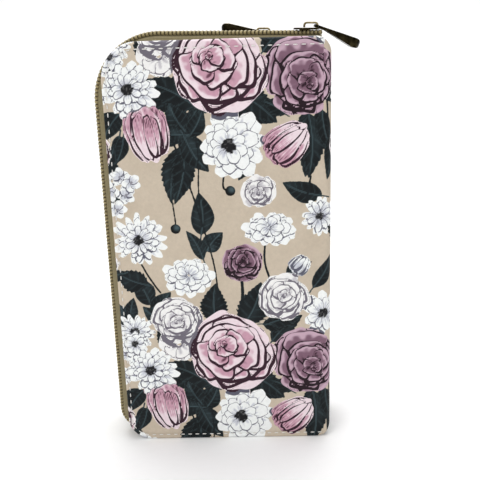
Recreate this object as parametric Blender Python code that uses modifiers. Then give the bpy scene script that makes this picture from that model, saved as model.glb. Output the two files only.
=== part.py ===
"""A long double zip-around wallet, standing on its short end.

Two stiffened covers open like a book's from a spine at +X. A divider wall runs
through the middle, and a zip closes each of the two compartments, along the
top, the left edge and the bottom. Metres, +Z up, front cover at -Y. The origin
is the middle of the divider's bottom edge, which the wallet stands on.
"""

import math

import bmesh
import bpy
from mathutils import Matrix, Vector

# ---------------------------------------------------------------- dimensions

MM = 0.001

# Outline shared by the covers, the divider and the spine, seen from the front
EDGE_X = 50.2 * MM             # half the width of the body
HEIGHT = 192.5 * MM            # top edge of the covers
R_TOP_LEFT = 16.5 * MM
R_BOTTOM_LEFT = 11.0 * MM
R_SPINE = 7.0 * MM             # both ends of the spine
ARC_STEP = math.radians(9)
SMALL_ARC_STEP = math.radians(22.5)
SMALL_RADIUS = 4.0 * MM

# Depth, front to back
HALF_DEPTH = 18.0 * MM
GAP = 0.3 * MM                 # left between pieces that lie against each other
SHELL = 0.7 * MM               # printed faux leather
BOARD = 1.0 * MM               # stiffener
LINING = 0.5 * MM
DIVIDER_BOARD = 1.4 * MM
COVER = SHELL + GAP + BOARD + GAP + LINING
DIVIDER_HALF = DIVIDER_BOARD / 2 + GAP + LINING

# Covers fold from the spine along this line, at their outer face
HINGE_X = 46.6 * MM
SPINE_X = HINGE_X + GAP
SPINE_EDGE_R = EDGE_X - SPINE_X

# Zips
ZIP_Y = 8.4 * MM               # middle plane of each zip
ZIP_LEFT = -55.3 * MM          # outer face of the chain down the left edge
ZIP_BOTTOM = 1.0 * MM
ZIP_TOP = 196.05 * MM          # outer face of the front chain over x = 0
REAR_DROP = 2.0 * MM           # the rear zip sits this much lower
LEAN = math.radians(1.4)       # the top run falls towards the spine
ZIP_END = 45.9 * MM
TAPE_END = 46.3 * MM
R_ZIP_TOP = 30.0 * MM
R_ZIP_BOTTOM = 13.0 * MM
CHAIN_IN = 0.5 * MM            # half the slot that the slider's web runs in
CHAIN_OUT = 2.9 * MM
CHAIN_THICK = 1.9 * MM
TAPE_FLAT = 4.7 * MM
TAPE_OUT = 6.45 * MM
TAPE_TOP = 2.2 * MM            # depth of the tape under the chain's outer face
TAPE_DEEP = 11.0 * MM
TAPE_THICK = 0.45 * MM

# Sliders and pulls
FRONT_SLIDER_X = 40.3 * MM
REAR_SLIDER_X = 19.7 * MM
PLATE_LOW = 0.2 * MM
PLATE_TOP = 0.9 * MM
EYE_X = 3.35 * MM              # pull's pivot, along the slider and above the chain
EYE_Z = 1.75 * MM
RIM = 0.55 * MM                # half the thickness of the pull's eye
PULL_LENGTH = 21.0 * MM
PULL_HALF_WIDTH = 4.4 * MM
PULL_DEEP = 3.5 * MM           # how far the free end's belly hangs below the pivot line
FRONT_PULL_DROOP = math.radians(20)

# Pockets
POCKET = 0.5 * MM
POCKET_PITCH = 0.8 * MM
POCKET_ROWS = 4
POCKET_STEP = 12.0 * MM
POCKET_LEFT = -42.0 * MM
POCKET_RIGHT = 44.0 * MM
POCKET_LOW = 15.0 * MM
POCKET_HIGH = 179.0 * MM
POCKET_R = 2.0 * MM
POCKET_R_TOP = 14.0 * MM       # clears the zip tape's turn

SLIP_LEFT = -30.0 * MM

# Coin pocket on the divider's rear face
COIN_ZIP_X = -29.0 * MM
COIN_WINDOW = 2.5 * MM         # half the opening that shows the coin zip
COIN_CHAIN = 1.6 * MM          # half the coin chain's width
COIN_TAPE_Y = 2.1 * MM
COIN_PANEL_Y = 2.9 * MM
COIN_CHAIN_TOP = 4.3 * MM
COIN_SLIDER_Z = 164.0 * MM
COIN_SCALE = 0.72
COIN_PULL_DEEP = 0.9 * MM

# ------------------------------------------------------------------- helpers

for old in list(bpy.data.objects):
    bpy.data.objects.remove(old, do_unlink=True)

parts = bpy.data.collections.new("wallet")
guides = bpy.data.collections.new("cutters")
bpy.context.scene.collection.children.link(parts)
bpy.context.scene.collection.children.link(guides)


def material(name, colour, roughness, metallic=0.0):
    """A Principled material in one plain finish."""
    made = bpy.data.materials.new(name)
    made.use_nodes = True
    shader = made.node_tree.nodes["Principled BSDF"]
    shader.inputs["Base Color"].default_value = (*colour, 1.0)
    shader.inputs["Roughness"].default_value = roughness
    shader.inputs["Metallic"].default_value = metallic
    return made


PRINT = material("printed_faux_leather", (0.40, 0.34, 0.30), 0.55)
STIFFENER = material("stiffener_board", (0.62, 0.58, 0.50), 0.9)
CLOTH = material("lining_cloth", (0.16, 0.14, 0.12), 0.85)
POCKET_CLOTH = material("pocket_faux_leather", (0.50, 0.44, 0.36), 0.6)
TAPE = material("zip_tape", (0.26, 0.23, 0.15), 0.9)
TEETH = material("zip_teeth", (0.25, 0.22, 0.13), 0.45)
METAL = material("antique_brass", (0.10, 0.08, 0.04), 0.35, 1.0)


def add_part(name, data, finish, parent=None):
    """Puts a named piece in the wallet's collection."""
    piece = bpy.data.objects.new(name, data)
    parts.objects.link(piece)
    data.materials.clear()
    data.materials.append(finish)
    piece.parent = parent
    return piece


def as_guide(piece):
    """Moves an object to the cutters, which are no part of the wallet."""
    for home in list(piece.users_collection):
        home.objects.unlink(piece)
    guides.objects.link(piece)
    piece.hide_render = True
    piece.display_type = "WIRE"
    return piece


def empty(name, matrix, parent=None):
    """A frame that moving pieces are parented to."""
    frame = bpy.data.objects.new(name, None)
    guides.objects.link(frame)
    frame.parent = parent
    frame.matrix_local = matrix
    return frame


def round_corners(corners, radii):
    """An outline through the corners, each one turned into an arc."""
    points = []
    count = len(corners)
    for index in range(count):
        corner = Vector(corners[index])
        radius = radii[index]
        if radius == 0:
            points.append(corner)
            continue
        before = (Vector(corners[index - 1]) - corner).normalized()
        after = (Vector(corners[(index + 1) % count]) - corner).normalized()
        half = before.angle(after) / 2
        middle = corner + (before + after).normalized() * (radius / math.sin(half))
        start = corner + before * (radius / math.tan(half)) - middle
        sweep = math.pi - 2 * half
        turn = 1 if before.x * after.y - before.y * after.x < 0 else -1
        arc_step = SMALL_ARC_STEP if radius < SMALL_RADIUS else ARC_STEP
        steps = max(2, math.ceil(sweep / arc_step))
        for step in range(steps + 1):
            points.append(middle + Matrix.Rotation(turn * sweep * step / steps, 2) @ start)
    return points


def flat_curve(points, half_thickness, closed=True):
    """A 2D outline in its own XY plane, filled and extruded both ways."""
    curve = bpy.data.curves.new("outline", "CURVE")
    curve.dimensions = "2D"
    curve.fill_mode = "BOTH" if closed else "NONE"
    curve.extrude = half_thickness
    spline = curve.splines.new("POLY")
    spline.points.add(len(points) - 1)
    for slot, point in zip(spline.points, points):
        slot.co = (point[0], point[1], 0, 1)
    spline.use_cyclic_u = closed
    return curve


def upright_sheet(name, points, y_low, y_high, finish):
    """A flat piece that stands in the XZ plane between two depths."""
    curve = flat_curve(points, (y_high - y_low) / 2)
    piece = add_part(name, curve, finish)
    piece.rotation_euler = (math.pi / 2, 0, 0)
    piece.location = (0, (y_low + y_high) / 2, 0)
    return piece


def rectangle(x_low, x_high, z_low, z_high, radius=0.0):
    """A rectangle's outline, with the same radius at each corner."""
    corners = [(x_low, z_low), (x_high, z_low), (x_high, z_high), (x_low, z_high)]
    return round_corners(corners, [radius] * 4)


def pocket_outline(left):
    """A pocket's outline, well rounded where the zip turns the wallet's top corner."""
    corners = [(left, POCKET_LOW), (POCKET_RIGHT, POCKET_LOW),
               (POCKET_RIGHT, POCKET_HIGH), (left, POCKET_HIGH)]
    return round_corners(corners, [POCKET_R, POCKET_R, POCKET_R, POCKET_R_TOP])


def body_outline(right, inset=0.0):
    """The wallet's outline, cut straight at its right where that is the hinge line."""
    left = -EDGE_X + inset
    low = inset
    high = HEIGHT - inset
    cut = EDGE_X - R_SPINE
    drop = R_SPINE - math.sqrt(R_SPINE ** 2 - (right - cut) ** 2)
    corners = [(left, low), (cut, low), (right, low + drop), (right, high - drop), (cut, high), (left, high)]
    radii = [R_BOTTOM_LEFT - inset, 0, 0, 0, 0, R_TOP_LEFT - inset]
    return round_corners(corners, radii)


def bake(piece):
    """Turns a curve object into a mesh object with its caps welded on."""
    bpy.context.view_layer.update()
    graph = bpy.context.evaluated_depsgraph_get()
    mesh = bpy.data.meshes.new_from_object(piece.evaluated_get(graph))
    shape = bmesh.new()
    shape.from_mesh(mesh)
    bmesh.ops.remove_doubles(shape, verts=shape.verts, dist=0.001 * MM)
    bmesh.ops.recalc_face_normals(shape, faces=shape.faces)
    shape.to_mesh(mesh)
    shape.free()
    name = piece.name
    finish = piece.data.materials[0]
    parent = piece.parent
    place = piece.matrix_local.copy()
    bpy.data.objects.remove(piece, do_unlink=True)
    made = add_part(name, mesh, finish, parent)
    made.matrix_local = place
    return made


def box(name, low, high, finish, parent=None, bevel=0.0):
    """A block between two corners, with its edges rounded where bevel is given."""
    shape = bmesh.new()
    bmesh.ops.create_cube(shape, size=1.0)
    size = Vector(high) - Vector(low)
    bmesh.ops.scale(shape, vec=size, verts=shape.verts)
    bmesh.ops.translate(shape, vec=(Vector(low) + Vector(high)) / 2, verts=shape.verts)
    mesh = bpy.data.meshes.new(name)
    shape.to_mesh(mesh)
    shape.free()
    piece = add_part(name, mesh, finish, parent)
    if bevel:
        edge = piece.modifiers.new("rounded_edges", "BEVEL")
        edge.width = bevel
        edge.segments = 2
    return piece


def combine(piece, other, operation):
    """Joins, cuts or trims a piece with another object, which becomes a guide."""
    step = piece.modifiers.new(operation.lower(), "BOOLEAN")
    step.operation = operation
    step.object = as_guide(other)


# ----------------------------------------------------------------------- spine

SHOULDER_STEPS = 8

spine_outer = []
for step in range(SHOULDER_STEPS + 1):
    angle = math.radians(90 * step / SHOULDER_STEPS - 90)
    spine_outer.append((SPINE_X + SPINE_EDGE_R * math.cos(angle),
                        -HALF_DEPTH + SPINE_EDGE_R + SPINE_EDGE_R * math.sin(angle)))
spine_outer += [(x, -y) for x, y in reversed(spine_outer)]

channel = bmesh.new()
rings = []
for z in (0, HEIGHT):
    rings.append([channel.verts.new((x, y, z)) for x, y in spine_outer])
for index in range(len(spine_outer) - 1):
    channel.faces.new((rings[0][index], rings[0][index + 1], rings[1][index + 1], rings[1][index]))
channel_mesh = bpy.data.meshes.new("spine_shell")
channel.to_mesh(channel_mesh)
channel.free()
spine_shell = add_part("spine_shell", channel_mesh, PRINT)
wall = spine_shell.modifiers.new("wall", "SOLIDIFY")
wall.thickness = SHELL
wall.offset = -1

# The spine's two ends are rounded like the covers' corners beside them
end_block = upright_sheet("spine_end_trim", round_corners(
    [(0, 0), (EDGE_X + MM, 0), (EDGE_X + MM, HEIGHT), (0, HEIGHT)], [0, R_SPINE + MM, R_SPINE + MM, 0]),
    -HALF_DEPTH - MM, HALF_DEPTH + MM, PRINT)
combine(spine_shell, bake(end_block), "INTERSECT")

box("spine_board", (48.2 * MM, -14.0 * MM, 8 * MM), (49.2 * MM, 14.0 * MM, HEIGHT - 8 * MM), STIFFENER)
for side, name in ((-1, "front_spine_lining"), (1, "rear_spine_lining")):
    near, far = sorted((side * (DIVIDER_HALF + GAP), side * 14.6 * MM))
    box(name, (47.4 * MM, near, 6 * MM), (47.9 * MM, far, HEIGHT - 6 * MM), CLOTH)

# --------------------------------------------------------------------- divider

divider_outline = body_outline(SPINE_X)
half_board = DIVIDER_BOARD / 2
upright_sheet("divider_board", divider_outline, -half_board, half_board, STIFFENER)
divider_inset = body_outline(SPINE_X, 0.8 * MM)
upright_sheet("divider_front_lining", divider_inset, -DIVIDER_HALF, -DIVIDER_HALF + LINING, CLOTH)
upright_sheet("divider_rear_lining", divider_inset, DIVIDER_HALF - LINING, DIVIDER_HALF, CLOTH)

slip_y = -DIVIDER_HALF - 2 * GAP
upright_sheet("slip_pocket", pocket_outline(SLIP_LEFT), slip_y - POCKET, slip_y, POCKET_CLOTH)

# --------------------------------------------------------------------- covers


def cover(side, name):
    """One cover: printed shell, stiffener, lining and stepped card pockets."""
    outer = side * HALF_DEPTH

    def layer(part, points, depth, thick, finish):
        faces = sorted((outer - side * depth, outer - side * (depth + thick)))
        upright_sheet(part, points, faces[0], faces[1], finish)

    layer(name + "_shell", body_outline(HINGE_X), 0, SHELL, PRINT)
    layer(name + "_board", body_outline(HINGE_X - MM, 2 * MM), SHELL + GAP, BOARD, STIFFENER)
    layer(name + "_lining", body_outline(HINGE_X, 1.2 * MM), SHELL + GAP + BOARD + GAP, LINING, CLOTH)
    for row in range(POCKET_ROWS):
        points = pocket_outline(POCKET_LEFT + row * POCKET_STEP)
        layer(f"{name}_card_pocket_{row + 1}", points, COVER + GAP + row * POCKET_PITCH, POCKET, POCKET_CLOTH)


cover(-1, "front_cover")
cover(1, "back_cover")

# ------------------------------------------------------------------------ zips


def top_height(x, drop):
    """Height of the chain's outer face along the leaning top run."""
    return ZIP_TOP - drop - x * math.tan(LEAN)


def zip_path(end, drop):
    """The chain's outer face, from the spine over the top, down and back along the bottom."""
    corners = [(end, top_height(end, drop)), (ZIP_LEFT, top_height(ZIP_LEFT, drop)),
               (ZIP_LEFT, ZIP_BOTTOM), (end, ZIP_BOTTOM)]
    return round_corners(corners, [0, R_ZIP_TOP, R_ZIP_BOTTOM, 0])


def zip_strip(name, side_y, toward, profile, end, drop, finish):
    """Sweeps a section along the zip. Its points are (distance from the zip's plane, depth)."""
    section = flat_curve([(-depth, -toward * away) for away, depth in profile], 0)
    section.fill_mode = "NONE"
    guide = as_guide(add_part(name + "_section", section, finish))
    path = flat_curve(zip_path(end, drop), 0, closed=False)
    path.bevel_mode = "OBJECT"
    path.bevel_object = guide
    path.use_fill_caps = True
    strip = add_part(name, path, finish)
    strip.rotation_euler = (math.pi / 2, 0, 0)
    strip.location = (0, side_y, 0)
    return bake(strip)


CHAIN_SECTION = [(CHAIN_IN, 0), (CHAIN_OUT, 0), (CHAIN_OUT, CHAIN_THICK), (CHAIN_IN, CHAIN_THICK)]
TAPE_SECTION = [
    (CHAIN_IN, TAPE_TOP),
    (TAPE_FLAT, TAPE_TOP),
    (TAPE_OUT, TAPE_TOP + 2.4 * MM),
    (TAPE_OUT, TAPE_DEEP),
    (TAPE_OUT - TAPE_THICK, TAPE_DEEP),
    (TAPE_OUT - TAPE_THICK, TAPE_TOP + 2.6 * MM),
    (TAPE_FLAT - 0.2 * MM, TAPE_TOP + TAPE_THICK),
    (CHAIN_IN, TAPE_TOP + TAPE_THICK),
]


def zip_halves(plane_y, drop, names):
    """The two halves of a zip: names of the -Y half and of the +Y half."""
    for toward, name in zip((-1, 1), names):
        zip_strip(name + "_chain", plane_y, toward, CHAIN_SECTION, ZIP_END, drop, TEETH)
        zip_strip(name + "_tape", plane_y, toward, TAPE_SECTION, TAPE_END, drop, TAPE)


zip_halves(-ZIP_Y, 0.0, ("front_cover", "front_inner"))
zip_halves(ZIP_Y, REAR_DROP, ("rear_inner", "back_cover"))

# ----------------------------------------------------------- sliders and pulls


def level_sheet(name, points, z_low, z_high, finish, parent):
    """A flat piece that lies in its parent's XY plane between two heights."""
    piece = add_part(name, flat_curve(points, (z_high - z_low) / 2), finish, parent)
    piece.location = (0, 0, (z_low + z_high) / 2)
    return piece


def side_profile(name, points, half_width, finish, parent):
    """A piece drawn from its side, in its parent's XZ plane, and given a width along Y."""
    piece = add_part(name, flat_curve(points, half_width), finish, parent)
    piece.rotation_euler = (math.pi / 2, 0, 0)
    return piece


def crown(name, parent, scale):
    """The bridge over the slider that holds the pull's eye."""
    s = scale * MM
    foot = PLATE_TOP * scale + 0.2 * MM
    low = foot - 0.001 * MM
    corners = [(-1.8 * s, low), (-0.9 * s, low), (-0.9 * s, 2.6 * s), (4.1 * s, 2.6 * s),
               (4.1 * s, low), (4.9 * s, low), (4.9 * s, 3.4 * s), (-1.8 * s, 3.4 * s)]
    radii = [0, 0, 0.8 * s, 0.8 * s, 0, 0, 1.5 * s, 1.5 * s]
    return bake(side_profile(name, round_corners(corners, radii), 0.7 * s, METAL, parent))


def pull(name, parent, scale, deep):
    """The pull tab. Its own origin is the middle of its eye's rim, and it points along +X."""
    s = scale
    corners = [(-RIM * s, RIM * s), (-RIM * s, -RIM * s), (4.5 * MM * s, -RIM * s), (17.5 * MM * s, -deep * s),
               (PULL_LENGTH * s, -deep * s), (PULL_LENGTH * s, RIM * s)]
    end = (deep + RIM) / 2 * s
    radii = [0.45 * MM * s, 0.45 * MM * s, 0, 0, 0.9 * end, 0.95 * end]
    body = bake(side_profile(name, round_corners(corners, radii), PULL_HALF_WIDTH * s, METAL, parent))
    eye = 2.9 * MM * s
    wide = PULL_HALF_WIDTH * s
    far = PULL_LENGTH * s
    plan = [(-RIM * s, -eye), (7 * MM * s, -eye), (12 * MM * s, -wide), (far, -wide),
            (far, wide), (12 * MM * s, wide), (7 * MM * s, eye), (-RIM * s, eye)]
    trim = round_corners(plan, [1.2 * MM * s, 6 * MM * s, 6 * MM * s, 3.6 * MM * s,
                                3.6 * MM * s, 6 * MM * s, 6 * MM * s, 1.2 * MM * s])
    combine(body, bake(level_sheet(name + "_plan", trim, -6 * MM, 6 * MM, METAL, parent)), "INTERSECT")
    slot = rectangle(RIM * s, 6.9 * MM * s, -1.6 * MM * s, 1.6 * MM * s, 0.6 * MM * s)
    combine(body, bake(level_sheet(name + "_slot", slot, -6 * MM, 6 * MM, METAL, parent)), "DIFFERENCE")
    return body


def slider(prefix, x, plane_y, drop, pull_angle):
    """A slider on the top run of a zip, with its crown and its pull."""
    place = Matrix.Translation((x, plane_y, top_height(x, drop))) @ Matrix.Rotation(LEAN, 4, "Y")
    frame = empty(prefix + "_slider_frame", place)
    tail = 5.2 * MM
    plate = [(-6 * MM, PLATE_LOW), (tail, PLATE_LOW - 0.1 * MM), (tail, PLATE_LOW + 0.05 * MM),
             (3.5 * MM, PLATE_TOP), (-6 * MM, PLATE_TOP)]
    body = bake(side_profile(prefix + "_slider_body", plate, 4.2 * MM, METAL, frame))
    plan = [(-6 * MM, -4.2 * MM), (tail, -3.2 * MM), (tail, 3.2 * MM), (-6 * MM, 4.2 * MM)]
    trim = round_corners(plan, [2.2 * MM, 1.2 * MM, 1.2 * MM, 2.2 * MM])
    combine(body, bake(level_sheet(prefix + "_slider_plan", trim, -MM, 2 * MM, METAL, frame)), "INTERSECT")
    under = rectangle(-5.5 * MM, 4.8 * MM, -3.6 * MM, 3.6 * MM, 2.0 * MM)
    lower = bake(level_sheet(prefix + "_slider_lower", under, -3.75 * MM, -3.0 * MM, METAL, frame))
    combine(body, lower, "UNION")
    web = box(prefix + "_slider_web", (-3.5 * MM, -0.25 * MM, -3.2 * MM), (1.5 * MM, 0.25 * MM, 0.4 * MM),
              METAL, frame)
    combine(body, web, "UNION")
    crown(prefix + "_slider_crown", frame, 1.0)
    hang = Matrix.Translation((EYE_X, 0, EYE_Z)) @ Matrix.Rotation(pull_angle, 4, "Y")
    eye = empty(prefix + "_pull_frame", hang, frame)
    pull(prefix + "_pull", eye, 1.0, PULL_DEEP)
    return frame


slider("front", FRONT_SLIDER_X, -ZIP_Y, 0.0, FRONT_PULL_DROOP - LEAN)
slider("rear", REAR_SLIDER_X, ZIP_Y, REAR_DROP, math.pi)

# ----------------------------------------------------------------- coin pocket

window_left = COIN_ZIP_X - COIN_WINDOW
window_right = COIN_ZIP_X + COIN_WINDOW
upright_sheet("coin_zip_tape", rectangle(COIN_ZIP_X - 6 * MM, COIN_ZIP_X + 6 * MM, 17 * MM, 175 * MM),
              COIN_TAPE_Y, COIN_TAPE_Y + POCKET, TAPE)
upright_sheet("coin_pocket_panel", rectangle(window_right, POCKET_RIGHT, POCKET_LOW, POCKET_HIGH, 1.5 * MM),
              COIN_PANEL_Y, COIN_PANEL_Y + POCKET, POCKET_CLOTH)
upright_sheet("coin_pocket_welt", rectangle(-38.5 * MM, window_left, POCKET_LOW, 176 * MM, 1.5 * MM),
              COIN_PANEL_Y, COIN_PANEL_Y + POCKET, POCKET_CLOTH)
upright_sheet("coin_zip_chain", rectangle(COIN_ZIP_X - COIN_CHAIN, COIN_ZIP_X + COIN_CHAIN, 20 * MM, 173 * MM),
              COIN_PANEL_Y, COIN_CHAIN_TOP, TEETH)

# The coin slider's own axes: X down the zip, Z out of the divider
coin_axes = Matrix(((0, -1, 0, COIN_ZIP_X), (0, 0, 1, COIN_CHAIN_TOP),
                    (-1, 0, 0, COIN_SLIDER_Z), (0, 0, 0, 1)))
coin_frame = empty("coin_slider_frame", coin_axes)
coin_corners = [(-4.4 * MM, -3.0 * MM), (3.9 * MM, -2.3 * MM), (3.9 * MM, 2.3 * MM), (-4.4 * MM, 3.0 * MM)]
coin_plan = round_corners(coin_corners, [1.6 * MM, 0.9 * MM, 0.9 * MM, 1.6 * MM])
bake(level_sheet("coin_slider_body", coin_plan, 0.2 * MM, PLATE_TOP * COIN_SCALE, METAL, coin_frame))
crown("coin_slider_crown", coin_frame, COIN_SCALE)
coin_hang = Matrix.Translation((EYE_X * COIN_SCALE, 0, EYE_Z * COIN_SCALE))
coin_eye = empty("coin_pull_frame", coin_hang, coin_frame)
pull("coin_pull", coin_eye, COIN_SCALE, COIN_PULL_DEEP)

for piece in parts.objects:
    if piece.type == "MESH":
        piece.data.shade_smooth()
        piece.data.set_sharp_from_angle(angle=math.radians(35))
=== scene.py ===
import math

import bmesh
import bpy
import numpy as np
from mathutils import Matrix, Vector


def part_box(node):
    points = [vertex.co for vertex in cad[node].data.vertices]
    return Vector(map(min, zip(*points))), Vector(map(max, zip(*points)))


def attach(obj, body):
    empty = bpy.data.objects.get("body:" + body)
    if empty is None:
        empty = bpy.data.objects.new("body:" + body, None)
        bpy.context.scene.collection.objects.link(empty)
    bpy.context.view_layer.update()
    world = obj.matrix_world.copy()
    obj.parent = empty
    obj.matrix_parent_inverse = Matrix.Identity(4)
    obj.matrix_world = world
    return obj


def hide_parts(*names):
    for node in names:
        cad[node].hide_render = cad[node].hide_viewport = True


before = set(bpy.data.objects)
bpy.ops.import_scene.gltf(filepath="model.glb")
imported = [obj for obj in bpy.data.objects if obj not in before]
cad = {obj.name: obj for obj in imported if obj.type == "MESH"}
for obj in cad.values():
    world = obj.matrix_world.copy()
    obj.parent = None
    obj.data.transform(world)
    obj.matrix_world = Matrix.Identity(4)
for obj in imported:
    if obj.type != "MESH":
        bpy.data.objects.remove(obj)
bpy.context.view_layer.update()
MM = 0.001

# The view: a short way in front of the wallet and a little above its top, looking slightly down.
camera_data = bpy.data.cameras.new("camera")
camera_data.lens = 52.5
camera_data.sensor_width = 36
camera = bpy.data.objects.new("camera", camera_data)
bpy.context.scene.collection.objects.link(camera)
pitch, yaw, roll = 0.27756, -0.027884, -0.031438
ahead = Vector((math.sin(yaw) * math.cos(pitch), math.cos(yaw) * math.cos(pitch), -math.sin(pitch)))
level = Vector((math.cos(yaw), -math.sin(yaw), 0))
upward = level.cross(ahead)
right = level * math.cos(roll) + upward * math.sin(roll)
top = upward * math.cos(roll) - level * math.sin(roll)
turn = Matrix((right, top, -ahead)).transposed().to_4x4()
camera.matrix_world = Matrix.Translation((0.01694, -0.32836, 0.19149)) @ turn
bpy.context.scene.camera = camera


# The studio: a pale paper sweep in a bright room, a broad lamp above the left shoulder, a weaker one from the
# right, one overhead, and one behind the wallet that lights the paper.
def mesh_piece(name, points, faces):
    """A new object from points in metres and faces, at the origin."""
    mesh = bpy.data.meshes.new(name)
    mesh.from_pydata(points, [], faces)
    mesh.validate()
    mesh.shade_smooth()
    piece = bpy.data.objects.new(name, mesh)
    bpy.context.scene.collection.objects.link(piece)
    return piece


def new_material(name, roughness, metallic=0.0):
    """A material with its principled shader, its nodes and its links."""
    made = bpy.data.materials.new(name)
    made.use_nodes = True
    tree = made.node_tree
    shader = tree.nodes["Principled BSDF"]
    shader.inputs["Roughness"].default_value = roughness
    shader.inputs["Metallic"].default_value = metallic
    return made, tree.nodes, tree.links, shader


sweep = [(-1.5, 0.0), (0.9, 0.0)]
sweep += [(0.9 + 0.5 * math.sin(a * math.pi / 24), 0.5 - 0.5 * math.cos(a * math.pi / 24)) for a in range(1, 13)]
sweep += [(1.4, 2.2)]
floor = mesh_piece("paper_sweep", [(x, y, z) for y, z in sweep for x in (-2.5, 2.5)],
                   [(2 * n, 2 * n + 1, 2 * n + 3, 2 * n + 2) for n in range(len(sweep) - 1)])
paper, nodes, links, shader = new_material("white paper", 0.9)
fibre = nodes.new("ShaderNodeTexNoise")
fibre.inputs["Scale"].default_value = 900
tint = nodes.new("ShaderNodeValToRGB")
tint.color_ramp.elements[0].color = (0.93, 0.93, 0.93, 1)
tint.color_ramp.elements[1].color = (0.96, 0.96, 0.96, 1)
links.new(fibre.outputs["Fac"], tint.inputs["Fac"])
links.new(tint.outputs["Color"], shader.inputs["Base Color"])
shader.inputs["Specular IOR Level"].default_value = 0.1
floor.data.materials.append(paper)

wallet_middle, backdrop = (0, 0, 0.09), (0, 1.3, 0.25)
for name, place, aim, size, power, colour in (
        ("broad lamp", (-0.55, -0.75, 1.05), wallet_middle, 0.7, 5.6, (1.0, 0.99, 0.98)),
        ("side lamp", (0.9, -0.6, 0.55), wallet_middle, 0.6, 0.8, (0.97, 0.98, 1.0)),
        ("top lamp", (0.0, 0.25, 1.2), wallet_middle, 0.9, 8.0, (1.0, 1.0, 1.0)),
        ("backdrop lamp", (0.0, 0.75, 1.3), backdrop, 1.4, 6.0, (1.0, 1.0, 1.0))):
    lamp = bpy.data.objects.new(name, bpy.data.lights.new(name, "AREA"))
    lamp.data.size = size
    lamp.data.energy = power
    lamp.data.color = colour
    lamp.location = place
    lamp.rotation_euler = (Vector(aim) - Vector(place)).to_track_quat("-Z", "Y").to_euler()
    bpy.context.scene.collection.objects.link(lamp)
room = bpy.data.worlds.new("bright room")
room.use_nodes = True
room.node_tree.nodes["Background"].inputs["Color"].default_value = (1, 1, 1, 1)
room.node_tree.nodes["Background"].inputs["Strength"].default_value = 0.50
bpy.context.scene.world = room
bpy.context.scene.view_settings.view_transform = "Standard"


# The print, drawn as overlapping petals and leaves on the flat cloth, in mm. It repeats every 134.5 mm up the
# cloth and every 117 mm along it. Each vertex keeps the colours there and its distances to the nearest edges.
PAD = 2.2
PINK = ((0.130, 0.045, 0.075), (0.60, 0.34, 0.43), (0.88, 0.74, 0.79), (0.034, 0.011, 0.022))
BLUSH = ((0.15, 0.06, 0.09), (0.66, 0.43, 0.50), (0.95, 0.89, 0.89), (0.040, 0.014, 0.026))
MAUVE = ((0.030, 0.010, 0.020), (0.215, 0.115, 0.165), (0.58, 0.40, 0.49), (0.016, 0.006, 0.011))
CREAM = ((0.24, 0.23, 0.27), (0.60, 0.58, 0.61), (0.92, 0.91, 0.90), (0.165, 0.150, 0.185))
WHITE = ((0.20, 0.21, 0.27), (0.62, 0.64, 0.70), (0.94, 0.96, 0.95), (0.110, 0.110, 0.150))
LEAF_DARK = np.array((0.0015, 0.0028, 0.0034))
LEAF_MID = np.array((0.0055, 0.0095, 0.0115))
LEAF_LIGHT = np.array((0.075, 0.122, 0.138))


def step(low, high, x):
    t = np.clip((x - low) / (high - low), 0, 1)
    return t * t * (3 - 2 * t)


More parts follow.
